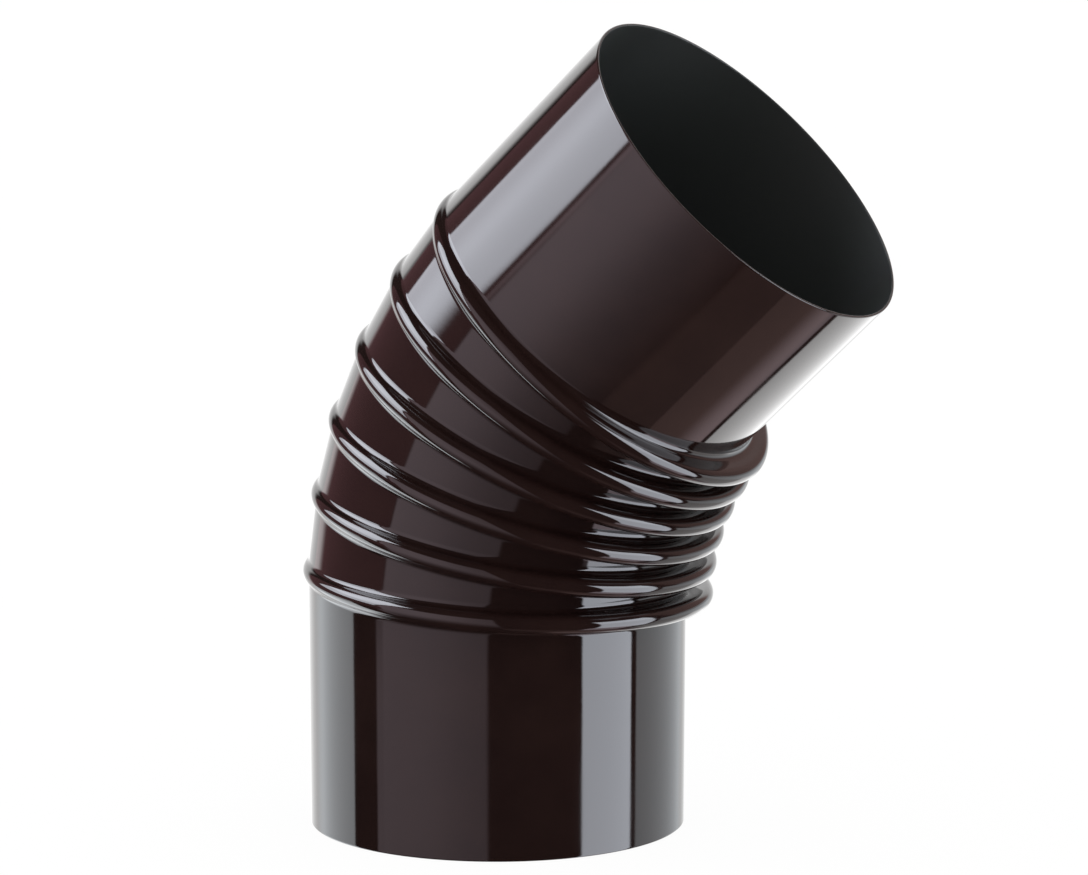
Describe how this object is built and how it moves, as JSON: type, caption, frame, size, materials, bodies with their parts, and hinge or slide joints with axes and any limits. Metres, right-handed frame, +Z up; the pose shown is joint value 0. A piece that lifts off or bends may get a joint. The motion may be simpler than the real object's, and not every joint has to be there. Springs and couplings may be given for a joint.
{
  "type": "stovepipe elbow",
  "caption": "Dark brown enamelled sheet-steel stovepipe elbow, bent through 45 degrees by a row of pleats, with a plain spigot at its lower end and a plain socket at its upper end.",
  "frame": {"origin": "centre of the lower rim, on the plane that the elbow stands on", "axes": "+Z up along the lower pipe's axis, the bend turns towards +X, and the XZ plane is the plane of symmetry"},
  "size_m": [0.19, 0.131, 0.2575],
  "materials": {
    "enamel": "gloss vitreous enamel, dark brown, over sheet steel"
  },
  "bodies": {
    "root": {"pleated_elbow": "enamel"}
  },
  "joints": []
}
